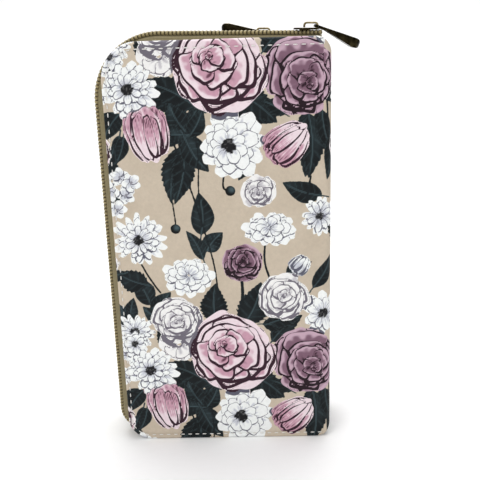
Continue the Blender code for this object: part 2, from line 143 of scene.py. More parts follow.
class Print:
    """Flowers and leaves laid over each other on the points (u, v) of the flat cloth."""
    def __init__(self, u, v):
        self.u, self.v = u, v
        n = u.size
        self.cover = np.full(n, 9.0)
        self.rim = np.full(n, -9.0)
        self.ink = np.zeros(n)
        self.petal = np.zeros((n, 3)) + 0.8
        self.ink_colour = np.zeros((n, 3)) + 0.1
        self.leaf = np.full(n, 9.0)
        self.green = np.zeros((n, 3)) + LEAF_MID

    def near(self, x, y, reach):
        return np.flatnonzero((abs(self.u - x) < reach) & (abs(self.v - y) < reach))

    def lay_petal(self, x, y, angle, a, b, palette, rng, light=0.5, wave=0.05, egg=0.0, line=0.55, fan=1.0,
                  streaks=0.12):
        """One petal: an oval whose base is at its own -X end, laid over what is there."""
        i = self.near(x, y, max(a, b) * 1.4 + PAD)
        if not i.size:
            return
        c, s_ = math.cos(angle), math.sin(angle)
        dx, dy = self.u[i] - x, self.v[i] - y
        p = dx * c + dy * s_
        q = -dx * s_ + dy * c
        q = q / (1 + egg * np.clip(p / a, -1, 1))
        turn = np.arctan2(q / b, p / a)
        f1, f2 = rng.uniform(0, 6.28, 2)
        wob = 1 + wave * (np.sin(3 * turn + f1) + 0.6 * np.sin(7 * turn + f2))
        pa, qb = p / (a * wob), q / (b * wob)
        f = pa ** 2 + qb ** 2 - 1
        grad = 2 * np.sqrt((pa / a) ** 2 + (qb / b) ** 2) + 1e-6
        s = np.maximum(f / grad, -min(a, b))
        inside = s < 0
        reach = line * (0.6 + 0.4 * np.sin(2 * turn + f2) + 0.8 * np.clip(-dy / (np.hypot(dx, dy) + 0.1), 0, 1))
        reach = np.clip(reach, 0.16, 1.5)
        on = (self.cover[i] < 0) & ~inside & (s < reach + 0.5)
        j = i[on]
        old = np.where(self.rim[j] > 0, self.ink[j], 0.0)
        self.ink[j] = np.maximum(old, np.clip(0.5 + (reach - s)[on] / 0.6, 0, 1))
        self.rim[j] = s[on]
        fresh = (s < PAD) & (inside | (self.cover[i] > 0))
        # tone: pale at the rim, deep at the base
        depth = np.clip(-s / (min(a, b) * 0.9), 0, 1)
        along = (pa + 1) / 2
        across = np.abs(qb)
        f3 = rng.uniform(0, 6.28)
        vein = np.sin((q / b) * rng.uniform(9, 13) * fan / (0.55 + 0.45 * np.clip(along, 0, 1)) + f3)
        tone = light + 0.62 * (along - 0.55) + 0.30 * step(0.35, 0.0, depth) - 0.16 * across * (1 - along) * 2
        tone = tone + streaks * vein * step(0.02, 0.3, depth) * (1.1 - along)
        tone = tone + 0.07 * np.sin(p * 1.3 + f1) * np.sin(q * 1.1 + f2)
        deep, mid, pale, ink = (np.array(c_) for c_ in palette)
        t1 = step(0.16, 0.36, tone)[:, None]
        t2 = step(0.54, 0.74, tone)[:, None]
        colour = (deep * (1 - t1) + mid * t1) * (1 - t2) + pale * t2
        k = i[fresh]
        self.petal[k] = colour[fresh]
        self.ink_colour[k] = ink
        k = i[inside]
        self.rim[k] = s[inside]
        self.ink[k] = np.where(s[inside] > -PAD, 1.0, 0.0)
        self.cover[i] = np.minimum(self.cover[i], s)

    def dot(self, x, y, r, colour):
        """A round spot of one colour on a flower."""
        i = self.near(x, y, r + PAD)
        s = np.hypot(self.u[i] - x, self.v[i] - y) - r
        fresh = (s < 0) | ((s < PAD) & (self.cover[i] > 0))
        self.petal[i[fresh]] = colour
        inside = s < 0
        self.rim[i[inside]] = s[inside] - 0.3
        self.ink[i[inside]] = 0
        self.cover[i] = np.minimum(self.cover[i], s)

    def rose(self, x, y, radius, seed, palette, squash=0.9, lean=0.0, heart=(0.0, 0.0), light=0.5, rings=6):
        """A full flower: rings of broad petals that shrink towards its heart."""
        rng = np.random.default_rng(seed)
        for ring in range(rings):
            k = ring / (rings - 1)
            size = radius * (1 - k) ** 0.85 + radius * 0.10
            count = (6, 6, 5, 4, 4, 3, 3)[ring]
            cx = x + heart[0] * radius * k
            cy = y + heart[1] * radius * k
            start = rng.uniform(0, 6.28)
            order = np.arange(count)
            if ring % 2:
                order = order[::-1]
            for n in order:
                angle = start + 6.28 * n / count + rng.uniform(-0.18, 0.18)
                far = size * (0.52 if ring < rings - 2 else 0.34) * rng.uniform(0.9, 1.08)
                ex = math.cos(angle) * far
                ey = math.sin(angle) * far * squash
                px = cx + ex * math.cos(lean) - ey * math.sin(lean)
                py = cy + ex * math.sin(lean) + ey * math.cos(lean)
                a = size * rng.uniform(0.42, 0.56)
                b = size * rng.uniform(0.56, 0.86)
                tilt = math.atan2(py - cy, px - cx) + rng.uniform(-0.22, 0.22)
                self.lay_petal(px, py, tilt, a, b, palette, rng,
                               light=light + 0.10 * (rng.random() - 0.5) - 0.10 * (k > 0.85), wave=0.06, egg=0.12,
                               line=0.22 + 0.055 * size)
        self.dot(x + heart[0] * radius, y + heart[1] * radius, radius * 0.035, np.array(palette[0]))

    def daisy(self, x, y, radius, seed, palette=WHITE, count=11, core=0.2, squash=1.0, lean=0.0, layers=2,
              slim=1.0, light=0.74, centre=True, heart=(0, 0)):
        """An open flower of thin petals in rings, with a dark centre."""
        rng = np.random.default_rng(seed)
        for layer in range(layers):
            size = radius * (1 - 0.24 * layer)
            n = count if layer == 0 else max(5, count - 2 * layer)
            start = rng.uniform(0, 6.28)
            for m in rng.permutation(n):
                angle = start + 6.28 * m / n + rng.uniform(-0.1, 0.1)
                reach = size * rng.uniform(0.88, 1.06)
                ex = math.cos(angle) * reach * 0.57
                ey = math.sin(angle) * reach * 0.57 * squash
                px = x + heart[0] * radius * layer + ex * math.cos(lean) - ey * math.sin(lean)
                py = y + heart[1] * radius * layer + ex * math.sin(lean) + ey * math.cos(lean)
                stretch = math.hypot(ex, ey) / (reach * 0.57)
                a = reach * 0.45 * stretch
                b = reach * slim * 2.1 / n * rng.uniform(0.9, 1.15)
                tilt = math.atan2(ey, ex) + lean
                self.lay_petal(px, py, tilt, a, b, palette, rng, light=light + rng.uniform(-0.1, 0.06), wave=0.05,
                               egg=0.3, line=0.27, fan=0.6, streaks=0.26)
        if centre:
            cx, cy = x + heart[0] * radius * layers * 0.6, y + heart[1] * radius * layers * 0.6
            black = np.array((0.008, 0.008, 0.010))
            for n in range(26):
                r = core * radius * math.sqrt(rng.random()) * 0.95
                t = rng.uniform(0, 6.28)
                self.dot(cx + r * math.cos(t), cy + r * math.sin(t), core * radius * 0.32, black)
            for n in range(22):
                r = core * radius * math.sqrt(rng.random())
                t = rng.uniform(0, 6.28)
                self.dot(cx + r * math.cos(t), cy + r * math.sin(t), 0.3, black + rng.uniform(0.0, 0.12))

    def bud(self, x, y, length, width, angle, seed, palette, light=0.55):
        """A half-open flower seen from the side: long petals wrapped over each other."""
        rng = np.random.default_rng(seed)
        c, s = math.cos(angle), math.sin(angle)
        lanes = ((-0.66, 0.46, 0.40), (0.66, 0.46, 0.40), (-0.36, 0.52, 0.52), (0.40, 0.52, 0.48), (0.02, 0.56, 0.62),
                 (-0.24, 0.47, 0.34), (0.34, 0.40, 0.22), (0.12, 0.40, 0.20))
        for lane, reach, wide in lanes:
            off = lane * width
            px = x - s * off + c * length * (0.5 - reach) * 0.3
            py = y + c * off + s * length * (0.5 - reach) * 0.3
            tilt = angle - lane * 0.25 + rng.uniform(-0.06, 0.06)
            self.lay_petal(px, py, tilt, length * reach, width * wide * 1.2, palette, rng,
                           light=light + rng.uniform(-0.12, 0.12), wave=0.05, egg=-0.12, line=0.6, streaks=0.2)

    def lay_leaf(self, x, y, length, width, angle, seed, teeth=0, bend=0.12, light=0.35):
        """A leaf from its stalk at (x, y) to its tip, under all the flowers."""
        rng = np.random.default_rng(seed)
        c, s_ = math.cos(angle), math.sin(angle)
        i = self.near(x + c * length / 2, y + s_ * length / 2, length * 0.75 + width)
        if not i.size:
            return
        dx, dy = self.u[i] - x, self.v[i] - y
        p = (dx * c + dy * s_) / length
        q = -dx * s_ + dy * c - bend * length * np.sin(np.clip(p, -0.1, 1.1) * 3.14)
        pc = np.clip(p, 0, 1)
        half = width / 2 * np.clip(np.sin(3.1415 * pc ** 0.80), 0, 1) ** 0.85 * (1 - 0.25 * pc)
        if teeth:
            saw = (pc * teeth) % 1.0
            half = half * (0.86 + 0.20 * saw)
        s = np.abs(q) - half
        s = np.maximum(s * 0.92, np.maximum(-p, p - 1) * length)
        stalk = np.hypot(np.maximum(np.maximum(-p - 0.18, p), 0) * length, q) - 0.35
        s = np.minimum(s, stalk)
        inside = s < 0
        side = np.abs(q) / (half + 0.2)
        rib = (pc * (6.5 if not teeth else teeth * 0.5) - side * 0.9) % 1.0
        veins = np.maximum(step(0.16, 0.0, np.minimum(rib, 1 - rib)) * step(0.02, 0.3, side), 0.0)
        mid = step(0.42, 0.12, np.abs(q)) * step(0.98, 0.8, pc)
        f1, f2 = rng.uniform(0, 6.28, 2)
        patch = 0.5 + 0.5 * np.sin(p * 5 + f1 + np.sign(q) * 0.9) * np.sin(q * 0.45 + f2)
        shade = light * patch * (1 - 0.6 * side) + 0.30 * light * (np.sign(q) > 0)
        edge = step(0.55, 0.1, -s)
        colour = LEAF_DARK + (LEAF_MID - LEAF_DARK) * np.clip(0.25 + shade, 0, 1)[:, None]
        lit = 0.50 * mid + 0.30 * veins * (0.35 + light) + 0.60 * light * patch ** 2 * step(0.95, 0.4, side)
        colour = colour + (LEAF_LIGHT - colour) * np.clip(lit, 0, 1)[:, None]
        colour = colour + (LEAF_LIGHT * 0.45 - colour) * (0.55 * edge)[:, None]
        fresh = (s < PAD) & (inside | (self.leaf[i] > 0))
        self.green[i[fresh]] = colour[fresh]
        # a dark gap on the leaf below, along this leaf's edge
        under = (self.leaf[i] < 0) & ~inside & (s < 0.6)
        self.green[i[under]] *= (0.25 + 0.75 * (s[under] / 0.6))[:, None]
        self.leaf[i] = np.minimum(self.leaf[i], s)

    def stem(self, points, width):
        """A thin stalk through a few points, smoothed."""
        pts = np.array(points, float)
        for _ in range(3):
            fine = [pts[0]]
            for a, b in zip(pts[:-1], pts[1:]):
                fine += [a * 0.75 + b * 0.25, a * 0.25 + b * 0.75]
            fine.append(pts[-1])
            pts = np.array(fine)
        mid = (pts.min(0) + pts.max(0)) / 2
        i = self.near(mid[0], mid[1], (pts.max(0) - pts.min(0)).max() / 2 + 3)
        best = np.full(i.size, 9.0)
        for a, b in zip(pts[:-1], pts[1:]):
            ab = b - a
            t = np.clip(((self.u[i] - a[0]) * ab[0] + (self.v[i] - a[1]) * ab[1]) / (ab @ ab + 1e-9), 0, 1)
            best = np.minimum(best, np.hypot(self.u[i] - a[0] - t * ab[0], self.v[i] - a[1] - t * ab[1]))
        s = best - width / 2
        sel = (s < PAD) & ((s < 0) | (self.leaf[i] > 0))
        self.green[i[sel]] = LEAF_MID
        self.leaf[i] = np.minimum(self.leaf[i], s)

    def florets(self, x, y, radius, count, size, seed):
        """A cluster of small five-petalled flowers."""
        rng = np.random.default_rng(seed)
        spots = []
        for _ in range(count * 6):
            r, t = radius * math.sqrt(rng.random()), rng.uniform(0, 6.28)
            px, py = x + r * math.cos(t) * 0.8, y + r * math.sin(t) * 1.15
            if all(math.hypot(px - a, py - b) > size * 1.05 for a, b in spots):
                spots.append((px, py))
            if len(spots) == count:
                break
        for px, py in spots:
            turn = rng.uniform(0, 6.28)
            for n in range(5):
                ang = turn + 6.28 * n / 5
                self.lay_petal(px + math.cos(ang) * size * 0.42, py + math.sin(ang) * size * 0.42, ang, size * 0.44,
                               size * 0.36, WHITE, rng, light=0.72, line=0.35, streaks=0.1)
            self.dot(px, py, size * 0.12, np.array((0.25, 0.24, 0.28)))


def bouquet(cloth, ou, ov):
    """The bouquet, drawn once for each repeat at (ou, ov)."""
    def at(x, y):
        return x + ou, y + ov
    # leaves and stalks, from the back to the front
    leaves = [
        # stalk x and y, length, width, angle, teeth, light
        (-9, 164, 27, 15, 154, 11, .3), (-14, 153, 15, 11, 118, 0, .45), (-13, 151, 14, 9, 62, 0, .35),
        (8, 170, 23, 14, -37, 11, .2), (-15, 152, 12, 10, 185, 0, .4), (-15.5, 146, 26, 12, 258, 11, .35),
        (-15, 151, 19, 12, -57, 0, .4), (0, 143, 12, 9, -30, 0, .1), (16, 140, 12, 7, -130, 7, .1),
        (40, 160, 29, 13, -90, 11, .3), (46, 161, 20, 8, -75, 0, .1), (50, 150, 20, 8, -95, 0, .1),
        (30, 160, 12, 8, 150, 7, .1), (20, 196, 15, 10, 10, 8, .2), (-9.5, 106, 20, 12, 91, 0, .35),
        (-7.5, 98, 12, 10, 48, 0, .7), (-9, 94, 16, 7, 118, 0, .4), (46, 123, 19, 11, 160, 0, .35),
        (42, 79, 18, 8, 62, 0, .15), (30, 84, 12, 5, 58, 0, .1), (31, 86, 12, 4, 30, 0, .1),
        (-4, 62, 20, 15, 90, 11, .15), (9, 61, 23, 17, 68, 11, .25), (22, 52, 20, 11, 42, 8, .25),
        (-35, 72, 17, 11, 118, 0, .45), (-36, 82, 16, 13, 155, 8, .2), (-35, 70, 13, 9, 40, 0, .35),
        (-29, 63, 13, 8, 140, 0, .5), (-47, 88, 12, 8, 200, 0, .2), (-9, 30, 27, 15, 154, 11, .3),
        (-14, 19, 15, 11, 118, 0, .45), (-13, 17, 14, 9, 62, 0, .35), (8, 35.5, 23, 14, -37, 11, .2),
        (-15, 18, 12, 10, 185, 0, .4), (-15.5, 12, 26, 12, 258, 11, .35), (-15, 17, 19, 12, -57, 0, .4),
        (0, 9, 12, 9, -30, 0, .1), (40, 26, 29, 13, -90, 11, .3), (46, 27, 20, 8, -75, 0, .1),
        (30, 26, 12, 8, 150, 7, .1), (-43, 28, 15, 10, 235, 0, .2), (-42, 18, 13, 7, 250, 0, .2),
        (-43, 162, 15, 10, 235, 0, .2), (-42, 152, 13, 7, 250, 0, .2), (-29, 184, 13, 9, 102, 7, .1),
        (-45, 178, 12, 8, 80, 0, .3), (-29, 50, 13, 9, 102, 7, .1), (-45, 64, 12, 8, 80, 0, .3),
        (-48, 60, 13, 9, 100, 7, .4), (-46, 118, 12, 8, 110, 0, .3), (56, 60, 22, 12, 80, 8, .3),
        (60, 100, 22, 12, 120, 8, .3), (60, 130, 22, 12, 60, 8, .3), (56, 165, 20, 12, 130, 0, .3),
        (18, 61, 14, 9, 5, 7, .1),
    ]
    for n, (x, y, length, width, angle, teeth, light) in enumerate(leaves):
        cloth.lay_leaf(*at(x, y), length, width, math.radians(angle), 40 + n, teeth=teeth, light=light,
                       bend=0.06 if n % 2 else -0.06)
    for points, width in (
            (((-22, 155), (-14, 130), (-9, 112), (-4, 92), (-3, 80)), 0.8),
            (((-10, 152), (-9, 140), (-10, 128), (-9, 112)), 0.7), (((20, 103), (19, 92), (22, 83)), 1.0),
            (((2, 134), (1, 127), (5, 126)), 0.9), (((-22, 122), (-21, 112), (-21, 108)), 0.7),
            (((8, 88), (9, 78), (8, 70)), 1.5), (((41, 132), (40, 127), (39, 122)), 0.9),
            (((44, 190), (48, 170), (49, 150)), 0.9), (((-3, 80), (-4, 70), (2, 60)), 0.9),
            (((-38, 92), (-34, 84), (-30, 78)), 0.9)):
        cloth.stem([at(*p) for p in points], width)
    # flowers
    cloth.florets(*at(-46.5, 128), 8.5, 9, 5.2, 301)
    cloth.florets(*at(-49, 43), 8.0, 9, 5.2, 302)
    cloth.daisy(*at(-45.5, 186.5), 7.0, 11, count=9, core=0.22)
    cloth.daisy(*at(46.5, 66), 9.5, 12, count=10, core=0.24, squash=1.2)
    cloth.daisy(*at(-43.5, 58.5), 9.8, 13, count=14, core=0.2, slim=0.8)
    cloth.daisy(*at(45, 113.5), 8.6, 14, count=14, core=0.2, squash=1.1, slim=1.0, light=0.68)
    cloth.daisy(*at(-38.5, 104.5), 12.8, 15, count=16, core=0.18, slim=1.0, heart=(0.0, -0.03), layers=3, light=0.68)
    cloth.daisy(*at(-38.0, 172.0), 12.6, 16, count=15, core=0.19, slim=1.05, heart=(-0.04, 0.02), layers=3, light=0.66)
    cloth.daisy(*at(-16.5, 85.5), 12.6, 17, count=12, squash=0.78, slim=1.2, layers=3, heart=(0.02, 0.04), centre=False)
    cloth.daisy(*at(22, 107.5), 12.6, 18, count=13, squash=0.66, slim=1.1, layers=3, heart=(0.0, 0.06), centre=False)
    cloth.daisy(*at(6.5, 147.5), 15.6, 19, count=12, core=0.2, slim=1.2, heart=(-0.07, -0.03), layers=3)
    cloth.daisy(*at(-22.5, 51.5), 9.5, 20, CREAM, count=5, slim=1.3, centre=False, light=0.8)
    cloth.rose(*at(-22.7, 63.8), 10.6, 21, CREAM, squash=0.95, heart=(-0.05, -0.05), light=0.62)
    cloth.rose(*at(27.3, 74.2), 10.4, 22, CREAM, squash=0.93, lean=0.3, heart=(0.12, 0.10), light=0.66)
    cloth.rose(*at(17.2, 125.3), 7.0, 23, CREAM, squash=0.8, heart=(0.0, -0.1), light=0.6, rings=4)
    cloth.rose(*at(9.0, 91.5), 8.4, 24, MAUVE, squash=0.85, heart=(0.05, 0.28), light=0.34, rings=5)
    cloth.bud(*at(36.0, 90.5), 9, 4.2, math.radians(48), 31, WHITE, light=0.7)
    cloth.bud(*at(-31.2, 152.2), 22, 8.6, math.radians(-80), 32, PINK, light=0.66)
    cloth.bud(*at(30.7, 147.2), 20, 7.8, math.radians(40), 33, PINK, light=0.62)
    cloth.rose(*at(36.6, 176.8), 13.8, 25, MAUVE, squash=1.30, lean=0.10, heart=(0.30, -0.34), light=0.46)
    cloth.rose(*at(1.0, 181.0), 17.6, 26, PINK, squash=0.98, lean=0.2, heart=(-0.20, 0.26), light=0.52)
    cloth.rose(*at(59.5, 146), 8.5, 27, BLUSH, heart=(0.1, 0.1), light=0.55)
    cloth.daisy(*at(58, 168), 8.5, 28, count=12, core=0.2)
    cloth.rose(*at(60, 92), 7.5, 29, CREAM, light=0.62)
    # two round berries, each with a glint up to its right
    for x, y in ((-21.2, 109.0), (4.6, 126.2)):
        bx, by = at(x, y)
        i = cloth.near(bx, by, 4)
        s = np.hypot(cloth.u[i] - bx, cloth.v[i] - by) - 2.3
        sel = s < PAD
        glint = step(2.2, 0.2, np.hypot(cloth.u[i] - bx - 0.6, cloth.v[i] - by - 0.6))
        cloth.green[i[sel]] = LEAF_DARK + (LEAF_LIGHT * 0.8 - LEAF_DARK) * glint[sel, None]
        cloth.leaf[i] = np.minimum(cloth.leaf[i], s)


# The printed covers: coated cloth with a flower print, glued over a thin board and turned round its edge.
# Front and back are 96.8 by 192.5 mm and a mirror of each other; each stops at its fold beside the spine.
LEFT, FOLD, HIGH, DEEP = -50.2, 46.6, 192.5, 18.0
R_LOW, R_HIGH, R_SPINE, SPINE_CENTRE = 11.0, 16.5, 7.0, 43.2
STEP = 0.485


def row_ends(z):
    """Where a level line meets the outline on the left and on the right."""
    z = np.asarray(z, float)
    low, high = np.clip(R_LOW - z, 0, R_LOW), np.clip(z - HIGH + R_HIGH, 0, R_HIGH)
    left = LEFT + R_LOW - np.sqrt(R_LOW ** 2 - low ** 2) + R_HIGH - np.sqrt(R_HIGH ** 2 - high ** 2)
    near = np.clip(np.maximum(R_SPINE - z, z - HIGH + R_SPINE), 0, R_SPINE)
    return left, SPINE_CENTRE + np.sqrt(R_SPINE ** 2 - near ** 2)


def inset(x, z):
    """How far a point lies inside the outline, its spine side left out."""
    deep = np.minimum(np.minimum(x - LEFT, z), HIGH - z)
    for cx, cz, r, sx, sz in ((LEFT + R_LOW, R_LOW, R_LOW, -1, -1), (LEFT + R_HIGH, HIGH - R_HIGH, R_HIGH, -1, 1),
                              (SPINE_CENTRE, R_SPINE, R_SPINE, 1, -1), (SPINE_CENTRE, HIGH - R_SPINE, R_SPINE, 1, 1)):
        corner = ((x - cx) * sx > 0) & ((z - cz) * sz > 0)
        deep = np.where(corner, r - np.hypot(x - cx, z - cz), deep)
    return np.maximum(deep, 0)


SEAM = [(49.0 - a * (49.0 - LEFT - R_LOW) / 45, 2.5) for a in range(46)]
for a in range(1, 13):
    t = math.radians(270 - a * 7.5)
    SEAM.append((LEFT + R_LOW + (R_LOW - 2.0) * math.cos(t), R_LOW + (R_LOW - 2.5) * math.sin(t)))
SEAM += [(LEFT + 2.0, R_LOW + a * (HIGH - R_HIGH - R_LOW) / 80) for a in range(1, 80)]
for a in range(19):
    t = math.radians(180 - a * 5)
    SEAM.append((LEFT + R_HIGH + (R_HIGH - 2.0) * math.cos(t), HIGH - R_HIGH + (R_HIGH - 3.3) * math.sin(t)))
SEAM += [(LEFT + R_HIGH + a * (49.0 - LEFT - R_HIGH) / 45, HIGH - 3.3) for a in range(1, 46)]


def seam_dip(x, z):
    """How deep the stitched line pulls the cloth in, in mm."""
    near = np.full(x.shape, 9.0)
    close = inset(x, z) < 6
    spot = np.stack([x[close], z[close]], 1)
    best = np.full(len(spot), 9.0)
    for (ax, az), (bx, bz) in zip(SEAM[:-1], SEAM[1:]):
        length = math.hypot(bx - ax, bz - az)
        t = np.clip(((spot[:, 0] - ax) * (bx - ax) + (spot[:, 1] - az) * (bz - az)) / length ** 2, 0, 1)
        best = np.minimum(best, np.hypot(spot[:, 0] - ax - t * (bx - ax), spot[:, 1] - az - t * (bz - az)))
    near[close] = best
    return 0.28 * np.exp(-(near / 0.75) ** 2)


def print_on(piece, u, v):
    """Paints the flower print on a piece's vertices, whose place on the flat cloth is (u, v)."""
    cloth = Print(u, v)
    for row in (1, 0, -1):
        for column in range(-1, 3):
            bouquet(cloth, 117.0 * column - 1.6 * row, 134.5 * row)
    for name, values in (("flower", cloth.cover), ("leaf", cloth.leaf), ("rim", cloth.rim), ("ink", cloth.ink),
                         ("petal", cloth.petal), ("crease", cloth.ink_colour), ("green", cloth.green)):
        kind, field = ("FLOAT", "value") if values.ndim == 1 else ("FLOAT_VECTOR", "vector")
        layer = piece.data.attributes.new(name, kind, "POINT")
        layer.data.foreach_set(field, values.astype(np.float32).ravel())


def tidy_faces(piece, angle=40):
    """Turns every face outwards and keeps the sharp edges sharp."""
    shape = bmesh.new()
    shape.from_mesh(piece.data)
    bmesh.ops.recalc_face_normals(shape, faces=shape.faces)
    shape.to_mesh(piece.data)
    shape.free()
    piece.data.shade_smooth()
    piece.data.set_sharp_from_angle(angle=math.radians(angle))


def back_of(piece, first):
    """Gives the faces from one on, and the cut edge at the fold, the second material."""
    for n, face in enumerate(piece.data.polygons):
        if n >= first or (abs(face.center.x - FOLD * MM) < 1e-5 and abs(face.normal.x) > 0.9):
            face.material_index = 1


def quads(a, b, c, d):
    """Four-sided faces from arrays of corner numbers."""
    return [tuple(q) for q in np.stack([a, b, c, d], -1).reshape(-1, 4).tolist()]


def make_cover(name, side):
    """One cover's printed cloth; side is -1 for the front and 1 for the back."""
    low = R_LOW * (1 - np.cos(np.radians(np.arange(0, 37) * 2.5)))
    high = HIGH - R_HIGH * (1 - np.cos(np.radians(np.arange(55, -1, -1) * 90 / 55)))
    middle = np.linspace(R_LOW, HIGH - R_HIGH, int((HIGH - R_HIGH - R_LOW) / STEP))
    rows = np.concatenate([low[:-1], middle, high[1:]])
    lead = np.array((0, 0.04, 0.13, 0.28, 0.48, 0.74, 1.05))
    count = int((FOLD - LEFT) / STEP) - 2
    left, end = row_ends(rows)
    end = np.minimum(end, FOLD)
    spread = np.linspace(0, 1, count)
    x = np.concatenate([left[:, None] + lead, left[:, None] + 1.4 + (end - left - 1.4)[:, None] * spread], 1)
    z = np.repeat(rows[:, None], x.shape[1], 1)
    deep = inset(x, z)
    edge = 1.2 - np.sqrt(1.44 - (1.2 - np.clip(deep, 0, 1.2)) ** 2)
    y = DEEP - edge - seam_dip(x.ravel(), z.ravel()).reshape(x.shape) * (deep > 1)
    tall, wide = x.shape
    grid = np.arange(tall * wide).reshape(tall, wide)
    loop = np.concatenate([grid[0], grid[1:, -1], grid[-1, -2::-1], grid[-2:0:-1, 0]])
    points = np.stack([x, side * y, z], 2).reshape(-1, 3)
    ring = points[loop]
    along = np.roll(ring, -1, 0) - np.roll(ring, 1, 0)
    inward = np.stack([-along[:, 2], along[:, 0]], 1)
    inward /= np.linalg.norm(inward, axis=1)[:, None] + 1e-9
    wall = ring.copy()
    wall[:, 1] = side * 15.5
    lip = wall.copy()
    lip[:, 0] += inward[:, 0] * 0.5
    lip[:, 2] += inward[:, 1] * 0.5
    inner = lip.copy()
    inner[:, 1] = side * 17.3
    faces = quads(grid[:-1, :-1], grid[:-1, 1:], grid[1:, 1:], grid[1:, :-1])
    size, loops = tall * wide, len(loop)
    levels = [loop, size + np.arange(loops), size + loops + np.arange(loops), size + 2 * loops + np.arange(loops)]
    for a, b in zip(levels[:-1], levels[1:]):
        faces += quads(a, np.roll(a, -1), np.roll(b, -1), b)
    faces.append(tuple(levels[-1].tolist()))
    every = np.concatenate([points, wall, lip, inner])
    piece = mesh_piece(name, (every * MM).tolist(), faces)
    tidy_faces(piece)
    flat = every[:, [0, 2]].copy()
    for n, past in enumerate((1.4, 1.9, 1.9)):
        flat[size + n * loops:size + (n + 1) * loops] = ring[:, [0, 2]] - inward * past
    u = flat[:, 0] if side < 0 else 2 * FOLD + SPINE_ROUND - flat[:, 0]
    print_on(piece, u, flat[:, 1])
    back_of(piece, (tall - 1) * (wide - 1) + loops)
    return piece


SPINE_BEND = 3.3
SPINE_ROUND = 2 * (50.2 - SPINE_BEND - FOLD) + math.pi * SPINE_BEND + 2 * (DEEP - SPINE_BEND)
front_print = make_cover("front_cover_cloth", -1)
back_print = make_cover("back_cover_cloth", 1)

# The spine is the same cloth, wrapped round the closed long side between the two folds with rounded shoulders.
# Its two ends are cut to the 7 mm corners of the covers.
shoulder = 50.2 - SPINE_BEND
turns = np.radians(np.arange(7.5, 91, 7.5))
path = [(FOLD, -DEEP), (shoulder, -DEEP)]
path += [(shoulder + SPINE_BEND * math.sin(a), -DEEP + SPINE_BEND - SPINE_BEND * math.cos(a)) for a in turns]
path += [(50.2, y) for y in np.linspace(-14.7, 14.7, 62)[1:]]
path += [(shoulder + SPINE_BEND * math.cos(a), DEEP - SPINE_BEND + SPINE_BEND * math.sin(a)) for a in turns]
path += [(FOLD, DEEP)]
path = np.array(path)
run = np.concatenate([[0], np.cumsum(np.hypot(*np.diff(path, axis=0).T))])
facing = np.array([(0, -1)] * 2 + [(math.sin(a), -math.cos(a)) for a in turns] + [(1, 0)] * 61
                  + [(math.cos(a), math.sin(a)) for a in turns] + [(0, 1)])
cut = R_SPINE - np.sqrt(R_SPINE ** 2 - (path[:, 0] - SPINE_CENTRE) ** 2)
ends = np.array((0, 0.0003, 0.001, 0.002, 0.0035))
share = np.concatenate([ends, np.linspace(0.006, 0.994, 394), 1 - ends[::-1]])
z = cut[None, :] + (HIGH - 2 * cut)[None, :] * share[:, None]
off = np.minimum(z - cut, HIGH - cut - z)
fall = 0.7 - np.sqrt(0.49 - (0.7 - np.clip(off, 0, 0.7)) ** 2)
x = path[None, :, 0] - facing[None, :, 0] * fall
y = path[None, :, 1] - facing[None, :, 1] * fall
tall, wide = z.shape
grid = np.arange(tall * wide).reshape(tall, wide)
faces = quads(grid[:-1, :-1], grid[:-1, 1:], grid[1:, 1:], grid[1:, :-1])
inside = path - facing * 0.9
lower = np.column_stack([inside, cut])
upper = np.column_stack([inside, HIGH - cut])
base = tall * wide
low_row, high_row = base + np.arange(wide), base + wide + np.arange(wide)
faces += quads(low_row[1:], low_row[:-1], high_row[:-1], high_row[1:])
faces += quads(grid[0, 1:], grid[0, :-1], low_row[:-1], low_row[1:])
faces += quads(grid[-1, :-1], grid[-1, 1:], high_row[1:], high_row[:-1])
faces.append(tuple(grid[:, 0].tolist() + [int(high_row[0]), int(low_row[0])]))
faces.append(tuple(grid[::-1, -1].tolist() + [int(low_row[-1]), int(high_row[-1])]))
every = np.concatenate([np.stack([x, y, z], 2).reshape(-1, 3), lower, upper])
spine_print = mesh_piece("spine_cloth", (every * MM).tolist(), faces)
tidy_faces(spine_print)
print_on(spine_print, FOLD + np.concatenate([np.tile(run, tall), run, run]), every[:, 2])
back_of(spine_print, (tall - 1) * (wide - 1))


def group_tree(name, inputs, outputs):
    """An empty shader node group with number inputs and the outputs named."""
    tree = bpy.data.node_groups.new(name, "ShaderNodeTree")
    for label, value in inputs:
        tree.interface.new_socket(label, in_out="INPUT", socket_type="NodeSocketFloat").default_value = value
    for label, kind in outputs:
        tree.interface.new_socket(label, in_out="OUTPUT", socket_type=kind)
    return tree, tree.nodes.new("NodeGroupInput"), tree.nodes.new("NodeGroupOutput")


def maths(tree, kind, a, b=None, c=None):
    """A math node's output, from numbers or sockets."""
    node = tree.nodes.new("ShaderNodeMath")
    node.operation = kind
    for n, value in enumerate(v for v in (a, b, c) if v is not None):
        if isinstance(value, (int, float)):
            node.inputs[n].default_value = value
        else:
            tree.links.new(value, node.inputs[n])
    return node.outputs[0]


